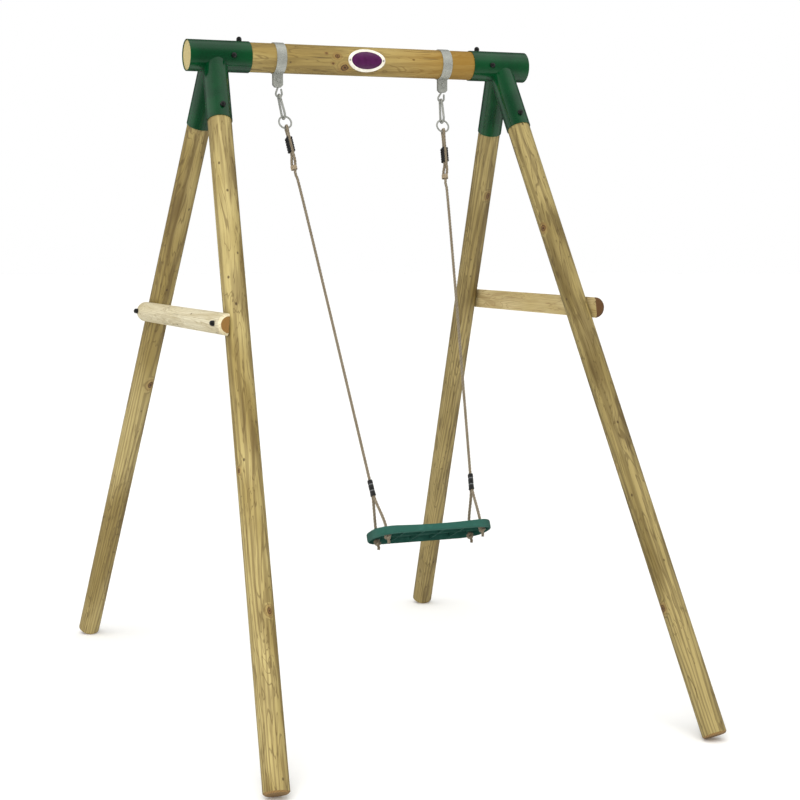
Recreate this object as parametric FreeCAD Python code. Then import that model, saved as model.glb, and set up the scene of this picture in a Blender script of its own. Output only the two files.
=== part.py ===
"""Round-pole garden swing: one beam on four legs, with a single rope-hung seat.

Frame of the model, in millimetres: X along the beam, Y from the front (-Y) to the
back (+Y), Z up. The origin is on the ground, midway between the four feet.

The hanging parts are modelled along their own rope line, in local axes:
local x is sideways, local y is forward (world -Y when plumb), and local z is the
distance down the rope from the pivot. hang() puts such a shape in the world.
"""
import FreeCAD
import Part
import math
import os

V = FreeCAD.Vector

# ---- poles ----------------------------------------------------------------
BEAM_AXIS_Z = 2200.0
BEAM_RADIUS = 50.0
BEAM_LENGTH = 1250.0
LEG_RADIUS = 40.0
LEG_TOP_X = 532.0          # where the leg axes meet the beam axis
LEG_SPLAY = 28.1           # degrees from plumb, front to back
LEG_CANT = 5.3             # degrees from plumb, outward along the beam
LEG_START = 95.0           # from the beam axis down to the sawn top of a leg
POLE_CHAMFER = 5.0

# ---- steel corner brackets --------------------------------------------------
SLEEVE_LENGTH = 215.0
SLEEVE_OVERHANG = 3.0      # beam end grain sits this far inside the sleeve
SLEEVE_BORE = 50.3
SLEEVE_OUTER = 53.0
SOCKET_BORE = 40.3
SOCKET_OUTER = 43.0
SOCKET_END = 255.0         # from the beam axis down to the socket mouth

# ---- coach screws through the brackets and the braces ----------------------------
SCREW_RADIUS = 4.0
SCREW_LENGTH = 62.0        # under the head
SCREW_HEAD_RADIUS = 8.0
SCREW_HEAD_HEIGHT = 6.0
CAP_RADIUS = 9.0
CAP_HEIGHT = 14.0
TOP_SCREW_X = 444.0
FRONT_SCREW_X = 480.0
SOCKET_SCREW_AT = 217.0    # from the beam axis, down the leg

# ---- half-round side braces ---------------------------------------------------
BRACE_Z = {"left": 1320.0, "right": 1349.0}
BRACE_RADIUS = 35.0
BRACE_LENGTH = 1010.0
BRACE_SHIFT = -14.0        # the rails sit this much towards the front
BRACE_CHAMFER = 8.0
BRACE_GAP = 0.4            # between the flat face and the leg
BRACE_SCREW_LENGTH = 92.0  # under the head

# ---- strap hangers on the beam --------------------------------------------------
HANGER_X = 308.0
STRAP_WIDTH = 35.0
STRAP_THICKNESS = 3.0
EAR_GAP = 8.0
EAR_BOTTOM = 98.0          # below the beam axis
EAR_CHAMFER = 8.0
BOLT_DROP = 73.0           # hanger bolt axis below the beam axis
HANGER_BOLT_RADIUS = 4.0
BUSH_RADIUS = 6.0

# ---- S hook between the hanger bolt and the snap hook ------------------------------
S_WIRE = 3.25
S_UPPER = 9.6              # centreline radius of the upper bowl
S_LOWER = 11.0             # centreline radius of the lower bowl
S_DROP = 57.0              # from the bolt axis to the centre of the lower bowl's wire

# ---- hanging line -----------------------------------------------------------------
REST_ANGLE = 22.0          # the stored swing stands this far forward of plumb
ROPE_LEAN = 5.1            # each rope leans in towards the seat, degrees
RUNNING_GAP = 0.3

# ---- snap hooks and rings ------------------------------------------------------------
HOOK_WIRE = 4.0
HOOK_TOP_RADIUS = 9.0      # centreline
HOOK_FOOT_RADIUS = 15.0    # centreline
HOOK_FOOT_AT = 80.0        # centre of the wire at the foot, below the pivot
HINGE_AT = 13.0
TONGUE_TOP = 9.0
NOSE_AT = 57.0
LAP_LENGTH = 6.0
TONGUE_THICKNESS = 3.6
FORK_GAP = 4.2
GATE_PIN_RADIUS = 1.5
RING_RADIUS = 22.0         # centreline
RING_WIRE = 3.0

# ---- ropes ---------------------------------------------------------------------------
ROPE_RADIUS = 5.0
STRAND_OFFSET = 6.0        # each strand from the rope line, inside the adjuster
PARALLEL_FROM = 132.0      # the two strands run parallel from here down to the adjuster
ADJUSTER_TOP = {"left": 150.0, "right": 178.0}
ADJUSTER_LENGTH = 54.0
ADJUSTER_WIDTH = 20.0
ADJUSTER_RIBS = 6
BINDING_DROP = 58.0        # from the adjuster's lower end to the middle of the binding
BINDING_LENGTH = 14.0
SLEEVE_TOP = 1369.0        # rope sleeve, below the pivot
SLEEVE_FOOT = 1420.0
SLEEVE_WIDTH = 23.0
SLEEVE_THICKNESS = 15.0
ROPE_IN_SLEEVE = 20.0
YOKE_GAP = 2.8             # under the rope sleeve, so that the strands can tip with the seat
YOKE_START = 11.0          # the strands leave the sleeve straight down, this far

# ---- seat ---------------------------------------------------------------------------
SEAT_TOP = 1533.0          # below the pivot
SEAT_LENGTH = 420.0
SEAT_DEPTH = 170.0
SEAT_HEIGHT = 31.0
SEAT_CORNER = 72.0
SEAT_WALL = 4.0
SEAT_DISH = 8.0            # how far the middle of the seat lies below its ends
HOLE_X = 167.0
HOLE_SPREAD = 48.0         # rope holes, forward and back of the rope line
HOLE_RADIUS = 6.2
BOSS_RADIUS = 11.0
BOSS_DEPTH = 18.0
KNOT_RADIUS = 13.0
KNOT_HEIGHT = 22.0
ROPE_TAIL = 14.0

# ---- oval badge -----------------------------------------------------------------------
BADGE_WIDTH = 136.0
BADGE_HEIGHT = 78.0
BADGE_THICKNESS = 4.0
BADGE_FIELD_WIDTH = 112.0
BADGE_FIELD_HEIGHT = 60.0
BADGE_SCREW_X = 62.0

SIDES = {"left": -1, "right": 1}
ENDS = {"front": -1, "back": 1}

# ---- worked out from the driving dimensions ---------------------------------------------
BOLT_Z = BEAM_AXIS_Z - BOLT_DROP
LEAN = math.radians(ROPE_LEAN)
PIVOT_X = HANGER_X - S_DROP * math.sin(LEAN)
PIVOT_Z = BOLT_Z - S_DROP * math.cos(LEAN)
YOKE_X = PIVOT_X - SLEEVE_FOOT * math.sin(LEAN)
YOKE_TOP = SLEEVE_FOOT * math.cos(LEAN) + YOKE_GAP
HOOK_TOP_AT = -(S_WIRE + HOOK_WIRE + RUNNING_GAP)
RING_TOP_AT = HOOK_FOOT_AT - (HOOK_WIRE + RING_WIRE + RUNNING_GAP)
RING_AT = RING_TOP_AT + RING_RADIUS
RING_FOOT_AT = RING_AT + RING_RADIUS
EYE_OFFSET = RING_WIRE + ROPE_RADIUS + RUNNING_GAP


# ---- small helpers -----------------------------------------------------------------
def cylinder(start, end, radius):
    """A solid round bar between two points."""
    along = end - start
    return Part.makeCylinder(radius, along.Length, start, along)


def box(low, high):
    size = high - low
    return Part.makeBox(size.x, size.y, size.z, low)


def hexagon(centre, along, radius, height):
    """A hexagonal bar; radius is half its width across flats."""
    corners = []
    for k in range(7):
        angle = math.radians(60 * k + 30)
        reach = radius / math.cos(math.radians(30))
        corners.append(V(reach * math.cos(angle), reach * math.sin(angle), 0))
    bar = Part.Face(Part.makePolygon(corners)).extrude(V(0, 0, height))
    bar.Placement = FreeCAD.Placement(centre, FreeCAD.Rotation(V(0, 0, 1), along))
    return bar


def corner_radius(before, corner, after, share=0.45):
    """The largest arc that a corner of a route may have, and half its turn."""
    first = corner - before
    second = after - corner
    half_turn = first.getAngle(second) / 2
    return share * min(first.Length, second.Length) / math.tan(half_turn), half_turn


def rounded_edges(points, name):
    """Straight runs joined by tangent arcs."""
    edges = []
    radii = []
    start = points[0]
    for before, corner, after in zip(points, points[1:], points[2:]):
        radius, half_turn = corner_radius(before, corner, after)
        reach = radius * math.tan(half_turn)
        back = (before - corner).normalize()
        ahead = (after - corner).normalize()
        arc_start = corner + back * reach
        arc_end = corner + ahead * reach
        inward = (back + ahead).normalize()
        middle = corner + inward * (radius / math.cos(half_turn) - radius)
        edges.append(Part.LineSegment(start, arc_start).toShape())
        edges.append(Part.Arc(arc_start, middle, arc_end).toShape())
        radii.append(round(radius, 1))
        start = arc_end
    edges.append(Part.LineSegment(start, points[-1]).toShape())
    print(name, "bend radii", radii)
    return edges


def tube_along(wire, radius):
    """A round solid swept along a smooth wire."""
    first = wire.Edges[0]
    start = first.valueAt(first.FirstParameter)
    along = first.tangentAt(first.FirstParameter)
    ring = Part.Wire(Part.makeCircle(radius, start, along))
    return wire.makePipeShell([ring], True, False)


def rope(edges, name):
    """A rope's solid along its route, checked against its section times its length."""
    wire = Part.Wire(edges)
    solid = tube_along(wire, ROPE_RADIUS)
    expected = math.pi * ROPE_RADIUS ** 2 * wire.Length
    print(name, "length", round(wire.Length, 1), "volume ratio", round(solid.Volume / expected, 4))
    return solid


def swing_forward(shape):
    """Turn a plumb hanging shape forward to the stored pose."""
    turned = shape.copy()
    turned.rotate(V(0, 0, PIVOT_Z), V(1, 0, 0), -REST_ANGLE)
    return turned


def rope_line(side, origin):
    """Placement from a rope's local axes to the plumb world."""
    lean = LEAN * SIDES[side]
    sideways = V(math.cos(lean), 0, -math.sin(lean))
    forward = V(0, -1, 0)
    down = sideways.cross(forward)
    turn = FreeCAD.Rotation(sideways, forward, down, "ZXY")
    return FreeCAD.Placement(origin, turn)


def hang(shape, side):
    """Hang a shape on one rope line, at the stored swing angle."""
    placed = shape.copy()
    placed.Placement = rope_line(side, V(SIDES[side] * PIVOT_X, 0, PIVOT_Z))
    return swing_forward(placed)


def hang_seat(shape):
    """Hang a shape whose local z is straight down from the pivot's height."""
    placed = shape.copy()
    placed.Placement = FreeCAD.Placement(V(0, 0, PIVOT_Z), FreeCAD.Rotation(V(1, 0, 0), 180))
    return swing_forward(placed)


# ---- poles ---------------------------------------------------------------------------
def leg_direction(side, end):
    """Unit vector down a leg's axis."""
    across = math.tan(math.radians(LEG_CANT)) * SIDES[side]
    along = math.tan(math.radians(LEG_SPLAY)) * ENDS[end]
    return V(across, along, -1).normalize()


def leg_point(side, end, distance):
    """A point on a leg's axis, this far below the beam axis."""
    top = V(SIDES[side] * LEG_TOP_X, 0, BEAM_AXIS_Z)
    return top + leg_direction(side, end) * distance


def leg_end_distance():
    """How far down its axis a leg is sawn, so that its lowest rim stands on the ground."""
    down = -leg_direction("left", "front").z
    rim_drop = (LEG_RADIUS - POLE_CHAMFER) * math.sqrt(1 - down * down)
    return (BEAM_AXIS_Z - rim_drop) / down


def chamfered_pole(start, end, radius, chamfer, chamfer_start=True):
    """A round pole with a bevel at its end, and at its start too if wanted."""
    pole = cylinder(start, end, radius)
    along = (end - start).normalize()
    bevel = Part.makeCone(radius, radius - chamfer, chamfer, V(0, 0, 0), V(0, 0, 1))
    ring = Part.makeCylinder(radius + 1, chamfer).cut(bevel)
    ends = [(end, along)]
    if chamfer_start:
        ends.append((start, -along))
    for tip, outward in ends:
        turned = ring.copy()
        turned.Placement = FreeCAD.Placement(
            tip - outward * chamfer, FreeCAD.Rotation(V(0, 0, 1), outward)
        )
        pole = pole.cut(turned)
    return pole


def screw_axis_socket(side, end):
    """Where a socket's screw enters, and which way it points in."""
    centre = leg_point(side, end, SOCKET_SCREW_AT)
    down = leg_direction(side, end)
    outward = V(0, ENDS[end], 0)
    outward = (outward - down * outward.dot(down)).normalize()
    return centre + outward * SOCKET_OUTER, -outward


def screw_axis_top(side):
    return V(SIDES[side] * TOP_SCREW_X, 0, BEAM_AXIS_Z + SLEEVE_OUTER), V(0, 0, -1)


def screw_axis_front(side):
    return V(SIDES[side] * FRONT_SCREW_X, -SLEEVE_OUTER, BEAM_AXIS_Z), V(0, 1, 0)


def bracket_screws():
    """Every coach screw as (seat point, inward direction)."""
    screws = []
    for side in SIDES:
        screws.append(screw_axis_top(side))
        screws.append(screw_axis_front(side))
        for end in ENDS:
            screws.append(screw_axis_socket(side, end))
    return screws


def screw_axis_brace(side, end):
    """Where a brace's screw enters at the crown of the rail, and which way it points in."""
    crossing, outward = brace_crossing(side, end)
    return crossing + outward * BRACE_RADIUS, -outward


def brace_screws():
    screws = []
    for side in SIDES:
        for end in ENDS:
            screws.append(screw_axis_brace(side, end))
    return screws


def screw_hole(seat, inward, clearance, length=SCREW_LENGTH):
    return cylinder(seat - inward * 5, seat + inward * (length + 0.5), SCREW_RADIUS + clearance)


def top_beam():
    half = BEAM_LENGTH / 2
    beam = cylinder(V(-half, 0, BEAM_AXIS_Z), V(half, 0, BEAM_AXIS_Z), BEAM_RADIUS)
    for side in SIDES:
        for seat, inward in (screw_axis_top(side), screw_axis_front(side)):
            beam = beam.cut(screw_hole(seat, inward, 0.1))
        reach = badge_screw_reach(side)
        beam = beam.cut(cylinder(reach[0], reach[1], 2.1))
    return beam


def leg(side, end):
    start = leg_point(side, end, LEG_START)
    foot = leg_point(side, end, leg_end_distance())
    pole = chamfered_pole(start, foot, LEG_RADIUS, POLE_CHAMFER, chamfer_start=False)
    seat, inward = screw_axis_socket(side, end)
    pole = pole.cut(screw_hole(seat, inward, 0.1))
    seat, inward = screw_axis_brace(side, end)
    return pole.cut(screw_hole(seat, inward, 0.1, BRACE_SCREW_LENGTH))


# ---- brackets ----------------------------------------------------------------------
def bracket(side):
    """A sleeve for the beam with two welded leg sockets, all one piece of steel."""
    sign = SIDES[side]
    outer_x = sign * (BEAM_LENGTH / 2 + SLEEVE_OVERHANG)
    inner_x = outer_x - sign * SLEEVE_LENGTH
    start = V(outer_x, 0, BEAM_AXIS_Z)
    end = V(inner_x, 0, BEAM_AXIS_Z)
    core = cylinder(start, end, SLEEVE_OUTER)
    sockets = None
    bores = []
    for leg_end in ENDS:
        top = leg_point(side, leg_end, 0)
        mouth = leg_point(side, leg_end, SOCKET_END)
        socket = cylinder(top, mouth, SOCKET_OUTER)
        sockets = socket if sockets is None else sockets.fuse(socket)
        past = leg_point(side, leg_end, SOCKET_END + 5)
        bores.append(cylinder(top, past, SOCKET_BORE))
    for bore in bores:
        sockets = sockets.cut(bore)
    sockets = sockets.cut(core)
    welded = [s for s in sockets.Solids if s.BoundBox.ZMin < BEAM_AXIS_Z - SOCKET_END / 2]
    sleeve = core.cut(cylinder(start + V(sign * 5, 0, 0), end - V(sign * 5, 0, 0), SLEEVE_BORE))
    body = sleeve
    for tube in welded:
        body = body.fuse(tube)
    for seat, inward in (screw_axis_top(side), screw_axis_front(side)):
        body = body.cut(cylinder(seat - inward * 5, seat + inward * 8, SCREW_RADIUS + 0.4))
    for leg_end in ENDS:
        seat, inward = screw_axis_socket(side, leg_end)
        body = body.cut(cylinder(seat - inward * 5, seat + inward * 8, SCREW_RADIUS + 0.4))
    return body.removeSplitter()


def coach_screw(seat, inward, length=SCREW_LENGTH):
    """A shank with a hexagon head, seated on a bracket's or a brace's curved face."""
    lift = seat - inward * 0.8
    shank = cylinder(lift, seat + inward * length, SCREW_RADIUS)
    head = hexagon(lift, -inward, SCREW_HEAD_RADIUS - 1.5, SCREW_HEAD_HEIGHT)
    return shank.fuse(head)


def screw_cap(seat, inward):
    """A domed plastic cap over a screw's head."""
    base = seat - inward * 0.8
    outward = -inward
    skirt = cylinder(base, base + outward * (CAP_HEIGHT - CAP_RADIUS), CAP_RADIUS)
    dome = Part.makeSphere(CAP_RADIUS, base + outward * (CAP_HEIGHT - CAP_RADIUS))
    below = cylinder(base - outward * 20, base, CAP_RADIUS * 2)
    cap = skirt.fuse(dome).cut(below)
    hollow = hexagon(base - outward * 1, outward, SCREW_HEAD_RADIUS - 1.2, SCREW_HEAD_HEIGHT + 1.2)
    return cap.cut(hollow)


# ---- braces --------------------------------------------------------------------------
def brace_plane(side):
    """Centre of a brace's flat face, its outward normal and its upward direction."""
    cant = math.radians(LEG_CANT)
    sign = SIDES[side]
    outward = V(sign * math.cos(cant), 0, math.sin(cant))
    upward = V(-sign * math.sin(cant), 0, math.cos(cant))
    depth = (BEAM_AXIS_Z - BRACE_Z[side]) * math.tan(cant)
    on_leg_plane = V(sign * (LEG_TOP_X + depth), BRACE_SHIFT, BRACE_Z[side])
    return on_leg_plane + outward * (LEG_RADIUS + BRACE_GAP), outward, upward


def brace_crossing(side, end):
    """Where a brace's screw crosses its flat face, and the outward direction."""
    centre, outward, upward = brace_plane(side)
    down = leg_direction(side, end)
    drop = (BEAM_AXIS_Z - BRACE_Z[side]) / -down.z
    across = leg_point(side, end, drop).y
    return V(centre.x, across, centre.z), outward


def brace(side):
    """A half-round rail lying flat against both legs of one side."""
    centre, outward, upward = brace_plane(side)
    half = V(0, BRACE_LENGTH / 2, 0)
    rail = chamfered_pole(centre - half, centre + half, BRACE_RADIUS, BRACE_CHAMFER)
    reach = BRACE_RADIUS + 5
    slab = Part.makeBox(reach, BRACE_LENGTH + 20, 2 * reach)
    turn = FreeCAD.Rotation(V(1, 0, 0), -outward)
    corner = turn.multVec(V(0, BRACE_LENGTH / 2 + 10, reach))
    slab.Placement = FreeCAD.Placement(centre - corner, turn)
    rail = rail.cut(slab)
    for end in ENDS:
        seat, inward = screw_axis_brace(side, end)
        rail = rail.cut(screw_hole(seat, inward, 0.1, BRACE_SCREW_LENGTH))
    return rail


# ---- strap hangers -------------------------------------------------------------------
def hanger_strap(side):
    """A flat steel strap bent round the beam, its two ends brought down as ears."""
    centre_x = SIDES[side] * HANGER_X
    low = centre_x - STRAP_WIDTH / 2
    inner = BEAM_RADIUS + 0.2
    outer = inner + STRAP_THICKNESS
    axis_start = V(low, 0, BEAM_AXIS_Z)
    axis_end = V(low + STRAP_WIDTH, 0, BEAM_AXIS_Z)
    band = cylinder(axis_start, axis_end, outer)
    ear_y = EAR_GAP / 2 + STRAP_THICKNESS
    ears = box(
        V(low, -ear_y, BEAM_AXIS_Z - EAR_BOTTOM),
        V(low + STRAP_WIDTH, ear_y, BEAM_AXIS_Z - inner),
    )
    strap = band.fuse(ears)
    strap = strap.cut(cylinder(axis_start - V(1, 0, 0), axis_end + V(1, 0, 0), inner))
    slot = box(
        V(low - 1, -EAR_GAP / 2, BEAM_AXIS_Z - EAR_BOTTOM - 1),
        V(low + STRAP_WIDTH + 1, EAR_GAP / 2, BEAM_AXIS_Z - inner + 8),
    )
    strap = strap.cut(slot)
    strap = strap.cut(ear_corner(low, 1)).cut(ear_corner(low + STRAP_WIDTH, -1))
    bolt = cylinder(V(centre_x, -30, BOLT_Z), V(centre_x, 30, BOLT_Z), HANGER_BOLT_RADIUS + 0.2)
    return strap.cut(bolt).removeSplitter()


def ear_corner(edge_x, inward):
    """The triangle cut off one lower corner of both ears."""
    foot = BEAM_AXIS_Z - EAR_BOTTOM
    outline = [
        V(edge_x - inward, -30, foot - 1),
        V(edge_x + inward * EAR_CHAMFER, -30, foot - 1),
        V(edge_x + inward * EAR_CHAMFER, -30, foot),
        V(edge_x, -30, foot + EAR_CHAMFER),
        V(edge_x - inward, -30, foot + EAR_CHAMFER),
        V(edge_x - inward, -30, foot - 1),
    ]
    return Part.Face(Part.makePolygon(outline)).extrude(V(0, 60, 0))


def hanger_bolt(side):
    centre_x = SIDES[side] * HANGER_X
    face = EAR_GAP / 2 + STRAP_THICKNESS + 0.1
    shank = cylinder(V(centre_x, -face, BOLT_Z), V(centre_x, face + 11, BOLT_Z), HANGER_BOLT_RADIUS)
    head = hexagon(V(centre_x, -face, BOLT_Z), V(0, -1, 0), 6.5, 5.5)
    return shank.fuse(head)


def hanger_nut(side):
    centre_x = SIDES[side] * HANGER_X
    face = EAR_GAP / 2 + STRAP_THICKNESS + 0.1
    nut = hexagon(V(centre_x, face, BOLT_Z), V(0, 1, 0), 6.5, 8.0)
    hole = cylinder(V(centre_x, 0, BOLT_Z), V(centre_x, 30, BOLT_Z), HANGER_BOLT_RADIUS + 0.05)
    return nut.cut(hole)


def hanger_bush(side):
    """The plain spacer that the S hook hangs on, between the ears."""
    centre_x = SIDES[side] * HANGER_X
    half = EAR_GAP / 2 - 0.2
    bush = cylinder(V(centre_x, -half, BOLT_Z), V(centre_x, half, BOLT_Z), BUSH_RADIUS)
    hole = cylinder(V(centre_x, -9, BOLT_Z), V(centre_x, 9, BOLT_Z), HANGER_BOLT_RADIUS + 0.1)
    return bush.cut(hole)


def s_hook(side):
    """A bent wire: one bowl over the bush, one bowl under the snap hook."""
    upper = V(0, 0, 0)
    lower = V(0, 0, S_DROP - S_LOWER)
    cross = math.asin((S_UPPER + S_LOWER) / (lower - upper).Length)
    out = V(math.cos(cross), 0, math.sin(cross))
    upper_exit = upper + out * S_UPPER
    lower_entry = lower - out * S_LOWER
    upper_tip = V(-S_UPPER, 0, 3)
    upper_side = V(-S_UPPER, 0, 0)
    lower_side = V(S_LOWER, 0, lower.z)
    lower_tip = V(S_LOWER - 1.5, 0, lower.z - 16)
    edges = [
        Part.LineSegment(upper_tip, upper_side).toShape(),
        Part.Arc(upper_side, V(0, 0, -S_UPPER), upper_exit).toShape(),
        Part.LineSegment(upper_exit, lower_entry).toShape(),
        Part.Arc(lower_entry, V(0, 0, S_DROP), lower_side).toShape(),
        Part.LineSegment(lower_side, lower_tip).toShape(),
    ]
    wire = tube_along(Part.Wire(edges), S_WIRE)
    wire.Placement = rope_line(side, V(SIDES[side] * HANGER_X, 0, BOLT_Z))
    return wire


# ---- snap hooks and rings --------------------------------------------------------------
def hook_geometry():
    """Centres of the hook's two arcs and the taper between them."""
    top = V(0, 0, HOOK_TOP_AT + HOOK_TOP_RADIUS)
    foot = V(0, 0, HOOK_FOOT_AT - HOOK_FOOT_RADIUS)
    taper = math.asin((HOOK_FOOT_RADIUS - HOOK_TOP_RADIUS) / (foot.z - top.z))
    return top, foot, taper


def gate_line_point(depth):
    """The point of the gate's centreline at this depth below the pivot."""
    top, foot, taper = hook_geometry()
    start = top + V(0, math.cos(taper), -math.sin(taper)) * HOOK_TOP_RADIUS
    along = V(0, math.sin(taper), math.cos(taper))
    return start + along * ((depth - start.z) / along.z)


def gate_axes():
    """The gate's long direction and its inward direction."""
    taper = hook_geometry()[2]
    return V(0, math.sin(taper), math.cos(taper)), V(0, -math.cos(taper), math.sin(taper))


def aligned_box(centre, along, inward, size):
    """A box of (sideways, inward, along) size, centred on a point of the gate line."""
    block = Part.makeBox(size.x, size.y, size.z, V(-size.x / 2, -size.y / 2, -size.z / 2))
    turn = FreeCAD.Rotation(V(1, 0, 0), math.degrees(math.atan2(-along.y, along.z)))
    block.Placement = FreeCAD.Placement(centre, turn)
    return block


def snap_hook():
    """The bent body of a snap hook, with a hinge tongue and a lapped nose."""
    top, foot, taper = hook_geometry()
    along, inward = gate_axes()
    spine_top = top + V(0, -math.cos(taper), -math.sin(taper)) * HOOK_TOP_RADIUS
    spine_foot = foot + V(0, -math.cos(taper), -math.sin(taper)) * HOOK_FOOT_RADIUS
    front_top = gate_line_point(top.z - HOOK_TOP_RADIUS * math.sin(taper))
    front_foot = foot + V(0, math.cos(taper), -math.sin(taper)) * HOOK_FOOT_RADIUS
    hinge_end = gate_line_point(HINGE_AT + 3.5)
    nose_end = gate_line_point(NOSE_AT - LAP_LENGTH)
    edges = [
        Part.LineSegment(hinge_end, front_top).toShape(),
        Part.Arc(front_top, top - V(0, 0, HOOK_TOP_RADIUS), spine_top).toShape(),
        Part.LineSegment(spine_top, spine_foot).toShape(),
        Part.Arc(spine_foot, foot + V(0, 0, HOOK_FOOT_RADIUS), front_foot).toShape(),
        Part.LineSegment(front_foot, nose_end).toShape(),
    ]
    body = tube_along(Part.Wire(edges), HOOK_WIRE)
    cheek = HOOK_WIRE + 1
    for sign in (-1, 1):
        offset = V(sign * (TONGUE_THICKNESS / 2 + cheek / 2), 0, 0)
        middle = gate_line_point(TONGUE_TOP) + along * 10 + offset
        body = body.cut(aligned_box(middle, along, inward, V(cheek, 12, 20)))
    lap = gate_line_point(NOSE_AT) - along * (LAP_LENGTH / 2 + 1) + inward * 5
    body = body.cut(aligned_box(lap, along, inward, V(12, 10, LAP_LENGTH + 2)))
    hinge = gate_line_point(HINGE_AT)
    return body.cut(cylinder(hinge - V(9, 0, 0), hinge + V(9, 0, 0), GATE_PIN_RADIUS + 0.05))


def gate():
    """The hook's gate, forked over the hinge tongue and lapped behind the nose."""
    along, inward = gate_axes()
    start = gate_line_point(TONGUE_TOP + 1.1)
    tip = gate_line_point(NOSE_AT - 0.4)
    bar = cylinder(start, tip, HOOK_WIRE)
    slot = aligned_box(gate_line_point(HINGE_AT), along, inward, V(FORK_GAP, 12, 11))
    lap = gate_line_point(NOSE_AT) - along * (LAP_LENGTH / 2) - inward * (5 - 0.3)
    bar = bar.cut(slot).cut(aligned_box(lap, along, inward, V(12, 10, LAP_LENGTH + 0.8)))
    hinge = gate_line_point(HINGE_AT)
    return bar.cut(cylinder(hinge - V(9, 0, 0), hinge + V(9, 0, 0), GATE_PIN_RADIUS + 0.05))


def gate_pin():
    hinge = gate_line_point(HINGE_AT)
    return cylinder(hinge - V(3.9, 0, 0), hinge + V(3.9, 0, 0), GATE_PIN_RADIUS)


def ring():
    return Part.makeTorus(RING_RADIUS, RING_WIRE, V(0, 0, RING_AT), V(0, 1, 0))


# ---- ropes -------------------------------------------------------------------------------
def swing_rope(side):
    """Up from the rope sleeve, round the ring and back down to the binding."""
    name = "swing rope " + side
    foot = ADJUSTER_TOP[side] + ADJUSTER_LENGTH
    bind = foot + BINDING_DROP
    eye_front = V(0, EYE_OFFSET, RING_FOOT_AT)
    eye_top = V(0, 0, RING_FOOT_AT - EYE_OFFSET)
    eye_back = V(0, -EYE_OFFSET, RING_FOOT_AT)
    rising = [
        V(0, 0, SLEEVE_TOP + ROPE_IN_SLEEVE),
        V(0, 0, bind + 50),
        V(-8, 0, bind + 24),
        V(-3, 2, bind),
        V(2, 5, bind - 24),
        V(0, STRAND_OFFSET, foot + 8),
        V(0, STRAND_OFFSET, PARALLEL_FROM),
        V(0, EYE_OFFSET, RING_FOOT_AT + 6),
        eye_front,
    ]
    falling = [
        eye_back,
        V(0, -EYE_OFFSET, RING_FOOT_AT + 6),
        V(0, -STRAND_OFFSET, PARALLEL_FROM),
        V(0, -STRAND_OFFSET, foot + 8),
        V(-9, -5, bind - 22),
        V(-11, -4, bind - 4),
    ]
    edges = rounded_edges(rising, name + " rising")
    edges.append(Part.Arc(eye_front, eye_top, eye_back).toShape())
    edges += rounded_edges(falling, name + " falling")
    return rope(edges, name)


def yoke_rope(side, end):
    """One strand from the rope sleeve down through the seat to its knot."""
    across = SIDES[side]
    forward = -ENDS[end]
    hole = V(across * HOLE_X, forward * HOLE_SPREAD, SEAT_TOP)
    route = [
        V(across * YOKE_X, forward * (ROPE_RADIUS + 0.1), YOKE_TOP),
        V(across * YOKE_X, forward * (ROPE_RADIUS + 0.1), YOKE_TOP + YOKE_START),
        hole - V(0, 0, 12),
        hole + V(0, 0, BOSS_DEPTH),
    ]
    name = "yoke rope " + end + " " + side
    return rope(rounded_edges(route, name), name)


def adjuster(side):
    """A ribbed slider: one strand in an open channel in front, one in a bore behind."""
    top = ADJUSTER_TOP[side]
    half = ADJUSTER_WIDTH / 2
    back = -(STRAND_OFFSET + ROPE_RADIUS + 3)
    front = STRAND_OFFSET + 2
    block = box(V(-half + 1.2, back, top), V(half - 1.2, front, top + ADJUSTER_LENGTH))
    pitch = ADJUSTER_LENGTH / ADJUSTER_RIBS
    for k in range(ADJUSTER_RIBS):
        low = top + pitch * (k + 0.2)
        rib = box(V(-half, back - 0.8, low), V(half, front, low + pitch * 0.6))
        block = block.fuse(rib)
    for offset in (STRAND_OFFSET, -STRAND_OFFSET):
        bore = cylinder(V(0, offset, top - 5), V(0, offset, top + ADJUSTER_LENGTH + 5), ROPE_RADIUS + 0.4)
        block = block.cut(bore)
    mouth = box(V(-ROPE_RADIUS - 0.4, STRAND_OFFSET, top - 5),
                V(ROPE_RADIUS + 0.4, front + 5, top + ADJUSTER_LENGTH + 5))
    return block.cut(mouth).removeSplitter()


def binding(side):
    """The tight wrap that holds the rope's tail against its own standing part."""
    middle = ADJUSTER_TOP[side] + ADJUSTER_LENGTH + BINDING_DROP
    low = V(-5.5, 0, middle - BINDING_LENGTH / 2)
    high = V(-5.5, 0, middle + BINDING_LENGTH / 2)
    return cylinder(low, high, ROPE_RADIUS + 5)


def rope_sleeve():
    """The oval black sleeve that joins a rope to the two strands of its yoke."""
    half_x = SLEEVE_THICKNESS / 2
    reach = (SLEEVE_WIDTH - SLEEVE_THICKNESS) / 2
    low = SLEEVE_TOP
    height = SLEEVE_FOOT - SLEEVE_TOP
    body = box(V(-half_x, -reach, low), V(half_x, reach, low + height))
    for offset in (-reach, reach):
        barrel = cylinder(V(0, offset, low), V(0, offset, low + height), half_x)
        body = body.fuse(barrel)
    hole = cylinder(V(0, 0, low - 1), V(0, 0, low + ROPE_IN_SLEEVE + 0.5), ROPE_RADIUS + 0.1)
    return body.removeSplitter().cut(hole)


# ---- seat ------------------------------------------------------------------------------------
def rounded_plate(length, depth, corner, low, high):
    """A plate with rounded corners, between two depths below the pivot."""
    x = length / 2
    y = depth / 2
    plate = box(V(-x, -y + corner, low), V(x, y - corner, high))
    plate = plate.fuse(box(V(-x + corner, -y, low), V(x - corner, y, high)))
    for sx in (-1, 1):
        for sy in (-1, 1):
            centre = V(sx * (x - corner), sy * (y - corner), low)
            plate = plate.fuse(Part.makeCylinder(corner, high - low, centre))
    return plate.removeSplitter()


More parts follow.
